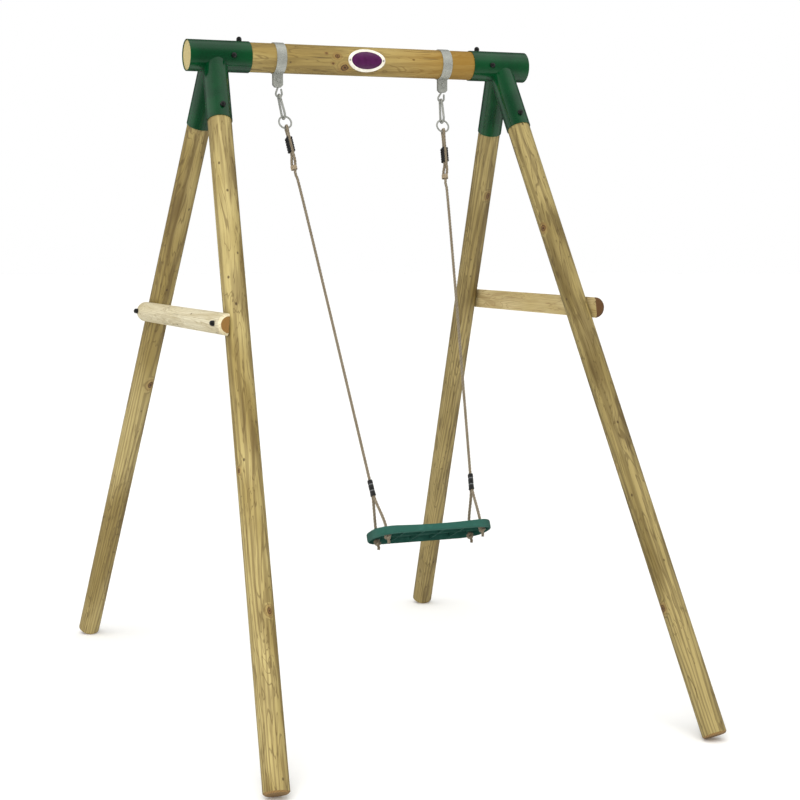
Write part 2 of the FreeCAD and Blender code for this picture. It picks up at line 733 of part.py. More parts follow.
def dish_cutter(drop):
    """A long round bar along Y whose underside dishes the seat by the stated depth."""
    half = SEAT_LENGTH / 2
    radius = (half * half + SEAT_DISH * SEAT_DISH) / (2 * SEAT_DISH)
    centre_z = SEAT_TOP + SEAT_DISH - radius + drop
    return cylinder(V(0, -SEAT_DEPTH, centre_z), V(0, SEAT_DEPTH, centre_z), radius)


def seat():
    """A moulded seat: a dished top skin, a deep rim, ribs and four rope bosses below."""
    foot = SEAT_TOP + SEAT_HEIGHT
    outside = rounded_plate(SEAT_LENGTH, SEAT_DEPTH, SEAT_CORNER, SEAT_TOP, foot)
    rims = [e for e in outside.Edges if abs(e.BoundBox.ZMin - e.BoundBox.ZMax) < 0.01]
    outside = outside.makeFillet(7.0, rims)
    outside = outside.cut(dish_cutter(0))
    cavity = rounded_plate(
        SEAT_LENGTH - 2 * SEAT_WALL, SEAT_DEPTH - 2 * SEAT_WALL,
        SEAT_CORNER - SEAT_WALL, SEAT_TOP + SEAT_WALL, foot + 1,
    )
    cavity = cavity.cut(dish_cutter(SEAT_WALL))
    body = outside.cut(cavity)
    ribs = []
    for x in (-105.0, -35.0, 35.0, 105.0):
        ribs.append(box(V(x - 1.5, -SEAT_DEPTH / 2 + 2, SEAT_TOP + 2), V(x + 1.5, SEAT_DEPTH / 2 - 2, foot - 8)))
    ribs.append(box(V(-SEAT_LENGTH / 2 + 2, -1.5, SEAT_TOP + 2), V(SEAT_LENGTH / 2 - 2, 1.5, foot - 8)))
    for rib in ribs:
        body = body.fuse(rib.cut(dish_cutter(1.0)))
    for centre in seat_hole_centres():
        boss = cylinder(centre, centre + V(0, 0, BOSS_DEPTH), BOSS_RADIUS)
        body = body.fuse(boss.cut(dish_cutter(1.0)))
    for centre in seat_hole_centres():
        hole = cylinder(centre - V(0, 0, 5), centre + V(0, 0, SEAT_HEIGHT), HOLE_RADIUS)
        body = body.cut(hole)
    return body.removeSplitter()


def seat_hole_centres():
    centres = []
    for side in SIDES.values():
        for end in ENDS.values():
            centres.append(V(side * HOLE_X, end * HOLE_SPREAD, SEAT_TOP))
    return centres


def knot(centre):
    """The stopper knot under a rope hole, with the rope's tail below it."""
    start = centre + V(0, 0, BOSS_DEPTH + 0.2)
    body = cylinder(start, start + V(0, 0, KNOT_HEIGHT), KNOT_RADIUS)
    body = body.makeFillet(7.0, [e for e in body.Edges if e.Closed])
    tail = cylinder(start + V(0, 0, KNOT_HEIGHT - 2), start + V(0, 0, KNOT_HEIGHT + ROPE_TAIL), ROPE_RADIUS)
    return body.fuse(tail)


# ---- badge -----------------------------------------------------------------------------------
def oval_shell(width, height, inner, outer):
    """An oval piece of a tube round the beam, facing the front."""
    oval = Part.Ellipse(V(0, 0, 0), width / 2, height / 2).toShape()
    prism = Part.Face(Part.Wire(oval)).extrude(V(0, 0, 120))
    prism.Placement = FreeCAD.Placement(V(0, 0, BEAM_AXIS_Z), FreeCAD.Rotation(V(1, 0, 0), 90))
    start = V(-width, 0, BEAM_AXIS_Z)
    end = V(width, 0, BEAM_AXIS_Z)
    return prism.common(cylinder(start, end, outer).cut(cylinder(start, end, inner)))


def badge_screw_reach(side):
    x = SIDES[side] * BADGE_SCREW_X
    face = BEAM_RADIUS + 0.2 + BADGE_THICKNESS
    return V(x, -face - 1, BEAM_AXIS_Z), V(x, -face + 22, BEAM_AXIS_Z)


def badge_plate():
    """The oval name plate's blank backing, curved to the beam."""
    inner = BEAM_RADIUS + 0.2
    plate = oval_shell(BADGE_WIDTH, BADGE_HEIGHT, inner, inner + BADGE_THICKNESS)
    recess = oval_shell(
        BADGE_FIELD_WIDTH, BADGE_FIELD_HEIGHT, inner + BADGE_THICKNESS - 1.5, inner + BADGE_THICKNESS + 5
    )
    plate = plate.cut(recess)
    for side in SIDES:
        start, end = badge_screw_reach(side)
        plate = plate.cut(cylinder(start, end, 2.3))
    return plate


def badge_field():
    """The coloured oval let into the badge; it carries no lettering."""
    inner = BEAM_RADIUS + 0.2 + BADGE_THICKNESS - 1.4
    return oval_shell(BADGE_FIELD_WIDTH - 0.4, BADGE_FIELD_HEIGHT - 0.4, inner, inner + 2.0)


def badge_screw(side):
    start, end = badge_screw_reach(side)
    head_seat = start + V(0, 1 - 0.1, 0)
    head = Part.makeCone(3.6, 2.6, 1.6, head_seat, V(0, -1, 0))
    return head.fuse(cylinder(head_seat, end - V(0, 1, 0), 2.0))


# ---- writing the parts -------------------------------------------------------------------------
def save(name, shape):
    """Write one node's STEP file and report what it holds."""
    if not shape.isValid():
        print("INVALID", name)
    shape.exportStep(os.path.join("parts", name + ".step"))
    print(name, "solids", len(shape.Solids), "volume", round(shape.Volume / 1000, 1), "cm3")


def group(shapes):
    """Several separate solids that share one node."""
    return Part.makeCompound(shapes)


def frame_nodes():
    save("top_beam", top_beam())
    for side in SIDES:
        save("bracket_" + side, bracket(side))
        save("brace_" + side, brace(side))
        save("hanger_strap_" + side, hanger_strap(side))
        save("s_hook_" + side, s_hook(side))
        for end in ENDS:
            save("leg_" + end + "_" + side, leg(side, end))
    save("bracket_screws", group([coach_screw(*screw) for screw in bracket_screws()]))
    save("bracket_screw_caps", group([screw_cap(*screw) for screw in bracket_screws()]))
    save("brace_screws", group([coach_screw(*screw, BRACE_SCREW_LENGTH) for screw in brace_screws()]))
    save("brace_screw_caps", group([screw_cap(*screw) for screw in brace_screws()]))
    save("hanger_bolts", group([hanger_bolt(side) for side in SIDES]))
    save("hanger_nuts", group([hanger_nut(side) for side in SIDES]))
    save("hanger_bushes", group([hanger_bush(side) for side in SIDES]))
    save("badge_plate", badge_plate())
    save("badge_field", badge_field())
    save("badge_screws", group([badge_screw(side) for side in SIDES]))


def swing_nodes():
    for side in SIDES:
        save("snap_hook_" + side, hang(snap_hook(), side))
        save("snap_gate_" + side, hang(gate(), side))
        save("snap_gate_pin_" + side, hang(gate_pin(), side))
        save("rope_ring_" + side, hang(ring(), side))
        save("rope_adjuster_" + side, hang(adjuster(side), side))
        save("rope_binding_" + side, hang(binding(side), side))
        save("rope_sleeve_" + side, hang(rope_sleeve(), side))
        save("swing_rope_" + side, hang(swing_rope(side), side))
        for end in ENDS:
            save("yoke_rope_" + end + "_" + side, hang_seat(yoke_rope(side, end)))
    save("yoke_knots", hang_seat(group([knot(centre) for centre in seat_hole_centres()])))
    save("seat", hang_seat(seat()))


def main():
    os.makedirs("parts", exist_ok=True)
    frame_nodes()
    swing_nodes()


main()
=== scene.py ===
"""Looks of a round-pole garden swing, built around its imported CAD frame.

Everything is in metres, in the frame's own axes: X along the beam, Y from front to back, Z up.
The ropes, their bindings, sleeves and knots are modelled here. The poles, steel and mouldings
keep their CAD shapes and get procedural finishes.
"""
import math
import random

import bpy
from mathutils import Matrix, Vector


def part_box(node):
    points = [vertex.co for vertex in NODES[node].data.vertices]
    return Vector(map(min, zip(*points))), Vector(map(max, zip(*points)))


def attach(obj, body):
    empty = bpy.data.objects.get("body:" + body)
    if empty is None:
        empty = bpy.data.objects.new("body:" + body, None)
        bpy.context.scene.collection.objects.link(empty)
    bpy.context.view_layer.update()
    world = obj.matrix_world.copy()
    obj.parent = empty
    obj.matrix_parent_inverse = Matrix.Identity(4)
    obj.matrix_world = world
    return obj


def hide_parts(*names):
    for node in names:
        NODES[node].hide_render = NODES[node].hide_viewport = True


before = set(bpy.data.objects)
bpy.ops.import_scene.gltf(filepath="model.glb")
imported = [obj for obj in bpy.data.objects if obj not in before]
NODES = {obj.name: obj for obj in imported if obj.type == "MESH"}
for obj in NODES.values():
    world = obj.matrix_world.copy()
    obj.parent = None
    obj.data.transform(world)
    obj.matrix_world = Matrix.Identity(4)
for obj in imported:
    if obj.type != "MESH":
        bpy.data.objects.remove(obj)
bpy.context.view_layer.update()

SIDES = {"left": -1, "right": 1}
ENDS = {"front": -1, "back": 1}

# ---- the hanging line, as in the CAD -------------------------------------------------
HANGER_X = 0.308
BOLT_Z = 2.127
HOOK_DROP = 0.057
REST_ANGLE = math.radians(22.0)
LEAN = math.radians(5.1)
PIVOT_X = HANGER_X - HOOK_DROP * math.sin(LEAN)
PIVOT_Z = BOLT_Z - HOOK_DROP * math.cos(LEAN)

# ---- ropes -----------------------------------------------------------------------------
ROPE_DIAMETER = 0.010
ADJUSTER_TOP = {"left": 0.150, "right": 0.178}
ADJUSTER_LENGTH = 0.054
BINDING_DROP = 0.058
STRAND_OFFSET = 0.006
EYE_OFFSET = 0.0083
PARALLEL_FROM = 0.132
RING_FOOT_AT = 0.1167
SLEEVE_TOP = 1.369
SLEEVE_FOOT = 1.420
ROPE_IN_SLEEVE = 0.020
SLEEVE_BANDS = (SLEEVE_TOP + 0.015, SLEEVE_TOP + 0.036)
YOKE_GAP = 0.0028          # between the sleeve's CAD solid and the strands
YOKE_START = 0.011         # the strands leave the sleeve straight down, this far
YOKE_SIDE = 0.0051         # each strand's centre, from the middle of the pair
YOKE_X = PIVOT_X - SLEEVE_FOOT * math.sin(LEAN)
YOKE_TOP = SLEEVE_FOOT * math.cos(LEAN) + YOKE_GAP
SEAT_TOP = 1.533
HOLE_X = 0.167
HOLE_SPREAD = 0.048
BOSS_DEPTH = 0.018
LAY_PITCH = 0.034          # one full turn of the rope's three strands
LOBE_DEPTH = 0.28          # groove between strands, as a share of the radius
LINE_STEP = 0.002          # between the rings of points that make up a rope

# ---- poles -----------------------------------------------------------------------------
BEAM_Z = 2.200
BEAM_LENGTH = 1.250
BEAM_RADIUS = 0.050
LEG_RADIUS = 0.040
BRACE_RADIUS = 0.035
LEG_TOP_X = 0.532          # where the leg axes meet the beam axis
LEG_SPLAY = math.radians(28.1)
LEG_CANT = math.radians(5.3)

# ---- camera ----------------------------------------------------------------------------
CAMERA_PLACE = (-2.3277, -5.8653, 1.6182)
CAMERA_YAW = math.radians(23.62)
CAMERA_PITCH = math.radians(-6.18)
CAMERA_ROLL = math.radians(-0.09)
CAMERA_LENS = 80.25
CAMERA_SHIFT = (-0.0304, 0.0285)

# ---- studio ----------------------------------------------------------------------------
FLOOR_REACH = 60.0
BACKDROP_LEVEL = 1.0       # what the camera sees round the object
ROOM_LEVEL = 0.72          # what lights the object
DARK_END_LEVEL = 0.1       # what gloss shows in front of the set and behind it
DARK_END_EDGE = (0.25, 0.75)
SUN_POWER = 1.9
SUN_WIDTH = math.radians(60)
SUN_HEADING = (0.30, 0.52, -0.80)
BOX_POWER = 150.0
BOX_SIZE = (2.5, 4.0)
BOX_PLACE = (-3.2, -6.5, 2.6)
BOX_AIM = (0.0, 0.0, 1.2)


# ---- small helpers ---------------------------------------------------------------------
def colour(code):
    """A linear RGBA colour from an sRGB hex code."""
    channels = []
    for start in (0, 2, 4):
        value = int(code[start:start + 2], 16) / 255
        if value <= 0.04045:
            channels.append(value / 12.92)
        else:
            channels.append(((value + 0.055) / 1.055) ** 2.4)
    return (*channels, 1.0)


def rope_frame(side):
    """From a rope's local axes (sideways, forward, down the rope) to the world."""
    lean = LEAN * SIDES[side]
    columns = Matrix((
        (math.cos(lean), 0.0, -math.sin(lean), SIDES[side] * PIVOT_X),
        (0.0, -1.0, 0.0, 0.0),
        (-math.sin(lean), 0.0, -math.cos(lean), 0.0),
        (0.0, 0.0, 0.0, 1.0),
    ))
    return swing_turn() @ columns


def swing_turn():
    """From the hanging plane, plumb below the pivots, to where the swing is at rest."""
    lift = Matrix.Translation((0.0, 0.0, PIVOT_Z))
    return lift @ Matrix.Rotation(-REST_ANGLE, 4, "X")


def seat_frame():
    """From the seat's local axes (across, forward, down) to the world."""
    return swing_turn() @ Matrix.Rotation(math.pi, 4, "X")


def place(matrix, points):
    return [matrix @ Vector(point) for point in points]


def smooth_line(name, points, step):
    """Evenly spaced points on the NURBS spline whose control points are given."""
    curve = bpy.data.curves.new(name, "CURVE")
    curve.dimensions = "3D"
    spline = curve.splines.new("NURBS")
    spline.points.add(len(points) - 1)
    for control, point in zip(spline.points, points):
        control.co = (*point, 1.0)
    spline.order_u = 3
    spline.use_endpoint_u = True
    spline.resolution_u = 32
    holder = bpy.data.objects.new(name, curve)
    bare = bpy.data.meshes.new_from_object(holder)
    line = [vertex.co.copy() for vertex in bare.vertices]
    bpy.data.objects.remove(holder)
    bpy.data.curves.remove(curve)
    bpy.data.meshes.remove(bare)
    return even_line(line, step)


def running_lengths(line):
    """How far along the line each of its points is."""
    lengths = [0.0]
    for before, after in zip(line, line[1:]):
        lengths.append(lengths[-1] + (after - before).length)
    return lengths


def even_line(line, step):
    """The same line, divided into equal parts of about one step."""
    lengths = running_lengths(line)
    count = max(2, round(lengths[-1] / step))
    evened = []
    index = 0
    for k in range(count + 1):
        target = lengths[-1] * k / count
        while index < len(line) - 2 and lengths[index + 1] < target:
            index += 1
        span = lengths[index + 1] - lengths[index]
        share = (target - lengths[index]) / span if span > 0 else 0.0
        evened.append(line[index].lerp(line[index + 1], share))
    return evened


def carried_frames(line):
    """Two directions across the line at each point, carried along it without twisting."""
    frames = []
    previous = None
    for k in range(len(line)):
        ahead = line[min(k + 1, len(line) - 1)] - line[max(k - 1, 0)]
        along = ahead.normalized()
        if previous is None:
            previous = along.orthogonal().normalized()
        side = (previous - along * previous.dot(along)).normalized()
        frames.append((side, along.cross(side)))
        previous = side
    return frames


def mesh_object(name, vertices, faces, coordinates=None, smooth=True):
    """A mesh object; coordinates give each face corner its place on the surface."""
    mesh = bpy.data.meshes.new(name)
    mesh.from_pydata([tuple(v) for v in vertices], [], faces)
    if coordinates is not None:
        layer = mesh.uv_layers.new(name="surface")
        corner = 0
        for face in coordinates:
            for pair in face:
                layer.data[corner].uv = pair
                corner += 1
    for polygon in mesh.polygons:
        polygon.use_smooth = smooth
    mesh.validate()
    piece = bpy.data.objects.new(name, mesh)
    bpy.context.scene.collection.objects.link(piece)
    return piece


def skin(name, rings, lengths):
    """A tube through rings of points, with a face over each end."""
    count = len(rings[0])
    last = len(rings) - 1
    vertices = [point for ring in rings for point in ring]
    faces = []
    coordinates = []
    for k in range(last):
        here = k * count
        there = here + count
        low = lengths[k]
        high = lengths[k + 1]
        for j in range(count):
            right = (j + 1) % count
            left_u = j / count
            right_u = (j + 1) / count
            faces.append((here + j, here + right, there + right, there + j))
            coordinates.append(((left_u, low), (right_u, low), (right_u, high), (left_u, high)))
    faces.append(tuple(reversed(range(count))))
    coordinates.append(((0.5, lengths[0]),) * count)
    faces.append(tuple(range(last * count, last * count + count)))
    coordinates.append(((0.5, lengths[last]),) * count)
    return mesh_object(name, vertices, faces, coordinates)


def ring_round(point, side, up, reaches, turn=0.0):
    """Points round one point of a line, at the given reaches, starting from a turn."""
    ring = []
    for j, reach in enumerate(reaches):
        angle = 2 * math.pi * j / len(reaches) + turn
        ring.append(point + (side * math.cos(angle) + up * math.sin(angle)) * reach)
    return ring


def strand_radius(angle, radius):
    """The outline of three laid strands pressed together."""
    return radius * (1 - LOBE_DEPTH + LOBE_DEPTH * abs(math.cos(1.5 * angle)) ** 0.75)


def laid_rope(name, line, radius, points_round=24):
    """A three-strand rope along a line: its outline turns once in every lay pitch."""
    reaches = [strand_radius(2 * math.pi * j / points_round, radius) for j in range(points_round)]
    lengths = running_lengths(line)
    rings = []
    for point, (side, up), distance in zip(line, carried_frames(line), lengths):
        turn = 2 * math.pi * distance / LAY_PITCH
        rings.append(ring_round(point, side, up, reaches, turn))
    return skin(name, rings, lengths)


def round_tube(name, line, radius, points_round=10):
    """A plain round tube along a line, for twine."""
    reaches = [radius] * points_round
    rings = []
    for point, (side, up) in zip(line, carried_frames(line)):
        rings.append(ring_round(point, side, up, reaches))
    return skin(name, rings, running_lengths(line))


# ---- camera ----------------------------------------------------------------------------
def add_camera():
    """The camera, looking along its yaw and pitch from its place."""
    forward = Vector((
        math.sin(CAMERA_YAW) * math.cos(CAMERA_PITCH),
        math.cos(CAMERA_YAW) * math.cos(CAMERA_PITCH),
        math.sin(CAMERA_PITCH),
    ))
    right = forward.cross(Vector((0, 0, 1))).normalized()
    up = right.cross(forward)
    turn = Matrix((right, up, -forward)).transposed().to_4x4()
    data = bpy.data.cameras.new("camera")
    data.lens = CAMERA_LENS
    data.shift_x, data.shift_y = CAMERA_SHIFT
    data.dof.use_dof = False
    camera = bpy.data.objects.new("camera", data)
    roll = Matrix.Rotation(CAMERA_ROLL, 4, "Z")
    camera.matrix_world = Matrix.Translation(CAMERA_PLACE) @ turn @ roll
    bpy.context.scene.collection.objects.link(camera)
    bpy.context.scene.camera = camera


# ---- ropes -----------------------------------------------------------------------------
def swing_rope_points(side):
    """Up from the rope sleeve, round the ring, and back down to the binding."""
    foot = ADJUSTER_TOP[side] + ADJUSTER_LENGTH
    bind = foot + BINDING_DROP
    return [
        (0.0, 0.0, SLEEVE_TOP + ROPE_IN_SLEEVE),
        (0.0, 0.0, bind + 0.050),
        (-0.008, 0.0, bind + 0.024),
        (-0.003, 0.002, bind),
        (0.002, 0.005, bind - 0.024),
        (0.0, STRAND_OFFSET, foot + 0.008),
        (0.0, STRAND_OFFSET, PARALLEL_FROM),
        (0.0, EYE_OFFSET, RING_FOOT_AT + 0.006),
        (0.0, EYE_OFFSET, RING_FOOT_AT),
        (0.0, EYE_OFFSET, RING_FOOT_AT - EYE_OFFSET),
        (0.0, -EYE_OFFSET, RING_FOOT_AT - EYE_OFFSET),
        (0.0, -EYE_OFFSET, RING_FOOT_AT),
        (0.0, -EYE_OFFSET, RING_FOOT_AT + 0.006),
        (0.0, -STRAND_OFFSET, PARALLEL_FROM),
        (0.0, -STRAND_OFFSET, foot + 0.008),
        (-0.009, -0.005, bind - 0.022),
        (-0.011, -0.004, bind - 0.004),
    ]


def yoke_rope_points(side, end):
    """Down from the sleeve, spreading, and through the seat's boss."""
    across = SIDES[side]
    forward = -ENDS[end]
    return [
        (across * YOKE_X, forward * YOKE_SIDE, YOKE_TOP),
        (across * YOKE_X, forward * YOKE_SIDE, YOKE_TOP + YOKE_START),
        (across * HOLE_X, forward * HOLE_SPREAD, SEAT_TOP - 0.012),
        (across * HOLE_X, forward * HOLE_SPREAD, SEAT_TOP + BOSS_DEPTH),
    ]


def add_swing_rope(side, finish):
    control = place(rope_frame(side), swing_rope_points(side))
    line = smooth_line("route", control, LINE_STEP)
    rope = laid_rope("rope_" + side, line, ROPE_DIAMETER / 2)
    rope.data.materials.append(finish)
    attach(rope, "swing")
    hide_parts("swing_rope_" + side)


def add_yoke_rope(side, end, finish):
    control = place(seat_frame(), yoke_rope_points(side, end))
    line = smooth_line("route", control, LINE_STEP)
    rope = laid_rope("yoke_" + end + "_" + side, line, ROPE_DIAMETER / 2)
    rope.data.materials.append(finish)
    knot = stopper_knot(side, end)
    knot.data.materials.append(finish)
    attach(rope, "seat")
    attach(knot, "seat")
    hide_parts("yoke_rope_" + end + "_" + side)
    return knot


def stopper_knot(side, end):
    """An overhand stopper pulled tight under the seat, with its short tail."""
    hole_x = SIDES[side] * HOLE_X
    hole_y = -ENDS[end] * HOLE_SPREAD
    centre_z = SEAT_TOP + BOSS_DEPTH + 0.0115
    matrix = seat_frame()
    body = laid_rope(
        "knot_" + end + "_" + side,
        place(matrix, knot_loops(hole_x, hole_y, centre_z, 0.7 * SIDES[side] + 0.4 * ENDS[end])),
        0.0047, 18,
    )
    tail = laid_rope(
        "tail", place(matrix, knot_tail(hole_x, hole_y, centre_z + 0.006, ENDS[end])), 0.0049, 18,
    )
    return joined(body, [tail])


def knot_loops(x, y, z, turn):
    """A trefoil: the rope's own line in an overhand knot."""
    lobe = 0.0031
    inset = 0.0012
    rise = 0.0062
    count = 150
    loops = []
    for k in range(count + 1):
        angle = 2 * math.pi * k / count
        reach = lobe * (2.0 + math.cos(3 * angle)) - inset
        loops.append((
            x + reach * math.cos(2 * angle + turn),
            y + reach * math.sin(2 * angle + turn),
            z + rise * math.sin(3 * angle),
        ))
    return loops


def knot_tail(x, y, z, lean):
    """The short end below the knot, a little bent."""
    sway = 0.0015
    step = 0.0009
    tail = []
    for k in range(22):
        off = sway * math.sin(k / 7.0)
        tail.append((x + off, y + off * lean, z + step * k))
    return tail


def joined(target, others):
    """One object holding several meshes."""
    bpy.ops.object.select_all(action="DESELECT")
    for piece in [target, *others]:
        piece.select_set(True)
    bpy.context.view_layer.objects.active = target
    bpy.ops.object.join()
    return target


def binding(side):
    """Turns of twine round the rope and its own tail."""
    middle = ADJUSTER_TOP[side] + ADJUSTER_LENGTH + BINDING_DROP
    turns = 6
    steps = 30
    twine = 0.0012
    centre_x = -0.0066
    centre_y = -0.0008
    along_x = 0.8              # the oval's long way, from the rope towards its tail
    along_y = 0.6
    line = []
    for k in range(turns * steps + 1):
        angle = 2 * math.pi * k / steps
        long_way = 0.0103 * math.cos(angle)
        short_way = 0.0064 * math.sin(angle)
        drop = (k / (turns * steps) - 0.5) * turns * 2 * twine
        line.append((
            centre_x + along_x * long_way - along_y * short_way,
            centre_y + along_y * long_way + along_x * short_way,
            middle + drop,
        ))
    return round_tube("twine_" + side, place(rope_frame(side), line), twine)


def sleeve_ring(reach_x, reach_y, depth, count=40):
    """A squarish oval ring of points round the rope's line."""
    squareness = 0.85
    ring = []
    for j in range(count):
        angle = 2 * math.pi * j / count
        cosine = math.cos(angle)
        sine = math.sin(angle)
        ring.append((
            reach_x * math.copysign(abs(cosine) ** squareness, cosine),
            reach_y * math.copysign(abs(sine) ** squareness, sine),
            depth,
        ))
    return ring


def rope_sleeve(side):
    """A shrunk rubber sleeve: a rounded lip, two moulded bands, and a hollow, flared foot."""
    half_x = 0.0075
    half_y = 0.0115
    band_half = 0.0022
    groove_half = 0.0012
    groove_depth = 0.0007
    profile = [
        (0.0054, 0.0054, SLEEVE_TOP + 0.004),
        (0.0054, 0.0054, SLEEVE_TOP + 0.0008),
        (0.0062, 0.0075, SLEEVE_TOP),
        (0.0070, 0.0104, SLEEVE_TOP + 0.0006),
        (0.0074, 0.0112, SLEEVE_TOP + 0.0022),
        (half_x, half_y, SLEEVE_TOP + 0.008),
    ]
    for centre in SLEEVE_BANDS:
        profile.append((half_x, half_y, centre - band_half))
        profile.append((half_x - groove_depth, half_y - groove_depth, centre - groove_half))
        profile.append((half_x - groove_depth, half_y - groove_depth, centre + groove_half))
        profile.append((half_x, half_y, centre + band_half))
    foot = SLEEVE_FOOT + 0.0030
    profile += [
        (half_x, half_y, foot - 0.009),
        (half_x + 0.0004, half_y + 0.0010, foot - 0.004),
        (half_x + 0.0005, half_y + 0.0015, foot - 0.001),
        (half_x, half_y + 0.0010, foot),
        (half_x - 0.0006, half_y + 0.0005, foot - 0.0006),
        (half_x - 0.0009, half_y, foot - 0.0050),
    ]
    matrix = rope_frame(side)
    rings = [place(matrix, sleeve_ring(*row)) for row in profile]
    lengths = [row[2] for row in profile]
    return skin("sleeve_" + side, rings, lengths)


# ---- materials -------------------------------------------------------------------------
class Finish:
    """A node material under construction."""

    def __init__(self, name, roughness=0.5, metallic=0.0):
        self.material = bpy.data.materials.new(name)
        self.material.use_nodes = True
        self.tree = self.material.node_tree
        self.shader = next(n for n in self.tree.nodes if n.type == "BSDF_PRINCIPLED")
        self.shader.inputs["Roughness"].default_value = roughness
        self.shader.inputs["Metallic"].default_value = metallic

    def add(self, kind, settings=None, **inputs):
        """A node; inputs are values or other nodes' outputs, by socket name."""
        made = self.tree.nodes.new("ShaderNode" + kind)
        for key, value in (settings or {}).items():
            setattr(made, key, value)
        for key, value in inputs.items():
            self.feed(made.inputs[key.replace("_", " ")], value)
        return made

    def feed(self, socket, value):
        if isinstance(value, bpy.types.NodeSocket):
            self.tree.links.new(value, socket)
        else:
            socket.default_value = value

    def maths(self, operation, first, second=0.0):
        made = self.tree.nodes.new("ShaderNodeMath")
        made.operation = operation
        self.feed(made.inputs[0], first)
        self.feed(made.inputs[1], second)
        return made.outputs[0]

    def step(self, value, low, high, to_low=0.0, to_high=1.0):
        """A smooth step of a value from one level to another."""
        made = self.tree.nodes.new("ShaderNodeMapRange")
        made.interpolation_type = "SMOOTHSTEP"
        for socket, number in zip(made.inputs, (value, low, high, to_low, to_high)):
            self.feed(socket, number)
        return made.outputs[0]

    def mix(self, share, first, second):
        """The first colour where the share is 0, the second where it is 1."""
        made = self.tree.nodes.new("ShaderNodeMix")
        made.data_type = "RGBA"
        self.feed(made.inputs[0], share)
        self.feed(made.inputs[6], first)
        self.feed(made.inputs[7], second)
        return made.outputs[2]

    def noise(self, vector, scale, detail=3.0, roughness=0.55, distortion=0.0):
        made = self.add("TexNoise", Vector=vector, Scale=scale, Detail=detail)
        made.inputs["Roughness"].default_value = roughness
        made.inputs["Distortion"].default_value = distortion
        return made.outputs["Fac"]

    def mapped(self, vector, kind="POINT", place=(0, 0, 0), turn=(0, 0, 0), scale=(1, 1, 1)):
        made = self.add("Mapping", {"vector_type": kind}, Vector=vector)
        made.inputs["Location"].default_value = place
        made.inputs["Rotation"].default_value = turn
        made.inputs["Scale"].default_value = scale
        return made.outputs[0]

    def object_point(self):
        return self.add("TexCoord").outputs["Object"]

    def bump(self, height, distance, strength):
        made = self.add("Bump", Height=height)
        made.inputs["Strength"].default_value = strength
        made.inputs["Distance"].default_value = distance
        return made.outputs[0]

    def finish(self, base, normal=None, roughness=None):
        self.feed(self.shader.inputs["Base Color"], base)
        if normal is not None:
            self.feed(self.shader.inputs["Normal"], normal)
        if roughness is not None:
            self.feed(self.shader.inputs["Roughness"], roughness)
        return self.material


def wood(name, start, along, seed, pale, mid, dark, radius, knots, grain, warm=None,
         sawn=("8f6f3c", "5d4320"), reach=(0.5, 0.72)):
    """Turned softwood whose rings, streaks, checks and knots follow one pole's axis.

    knots are (distance along, angle round, size); grain is how strongly the rings show; warm is
    (from, to, colour) along the pole; sawn holds the two colours of its end grain, and reach how
    squarely a face has to look along the pole to show it, from not at all to fully.
    """
    draw = random.Random(seed)
    made = Finish(name, roughness=0.6)
    turn = along.normalized().to_track_quat("Z", "Y").to_euler()
    point = made.mapped(made.object_point(), "TEXTURE", place=start, turn=turn)
    nearest = knot_distance(made, point, radius, knots)
    rings = grain_rings(made, point, nearest, draw)
    shift = (draw.uniform(-9, 9), draw.uniform(-9, 9), draw.uniform(-9, 9))
    streak_point = made.mapped(point, place=shift, scale=(1.0, 1.0, 0.045))
    wavy_point = made.mapped(point, place=shift, scale=(1.0, 1.0, 0.13))
    broad = made.noise(wavy_point, 21.0, 3.0, 0.5, 0.9)
    fine = made.noise(streak_point, 210.0, 4.0, 0.65)
    drift = made.noise(made.mapped(point, place=shift, scale=(1.0, 1.0, 0.3)), 7.0, 2.0)
    base = made.mix(made.step(drift, 0.36, 0.66), colour(pale), colour(mid))
    base = made.mix(made.step(broad, 0.50, 0.74, 0.0, 0.6), base, colour(dark))
    base = made.mix(made.maths("MULTIPLY", rings, grain), base, colour(dark))
    base = made.mix(made.step(fine, 0.45, 0.8, 0.0, 0.5), base, colour(dark))
    for level, width in ((0.46, 0.010), (0.55, 0.013), (0.63, 0.010)):
        veins = made.maths("ABSOLUTE", made.maths("SUBTRACT", broad, level))
        base = made.mix(made.step(veins, width * 0.3, width, 0.55, 0.0), base, colour(dark))
    base = made.mix(pin_knots(made, point, shift), base, colour("3f2b14"))
    if warm is not None:
        low, high, tint = warm
        position = made.add("SeparateXYZ", Vector=point).outputs["Z"]
        share = made.step(position, low, high, 0.0, 0.8)
        base = made.mix(share, base, colour(tint))
    cracks = drying_checks(made, point, shift)
    base = made.mix(made.maths("MULTIPLY", cracks, 0.8), base, colour("4a3820"))
    base = knot_colours(made, base, nearest)
    base = end_grain(made, base, rings, along, sawn, reach)
    raised = made.maths("MULTIPLY", fine, 0.5)
    sunk = made.maths("ADD", made.maths("MULTIPLY", rings, 0.35), made.maths("MULTIPLY", cracks, 1.6))
    height = made.maths("SUBTRACT", raised, sunk)
    roughness = made.step(fine, 0.2, 0.8, 0.5, 0.72)
    return made.finish(base, made.bump(height, 0.0006, 0.7), roughness)


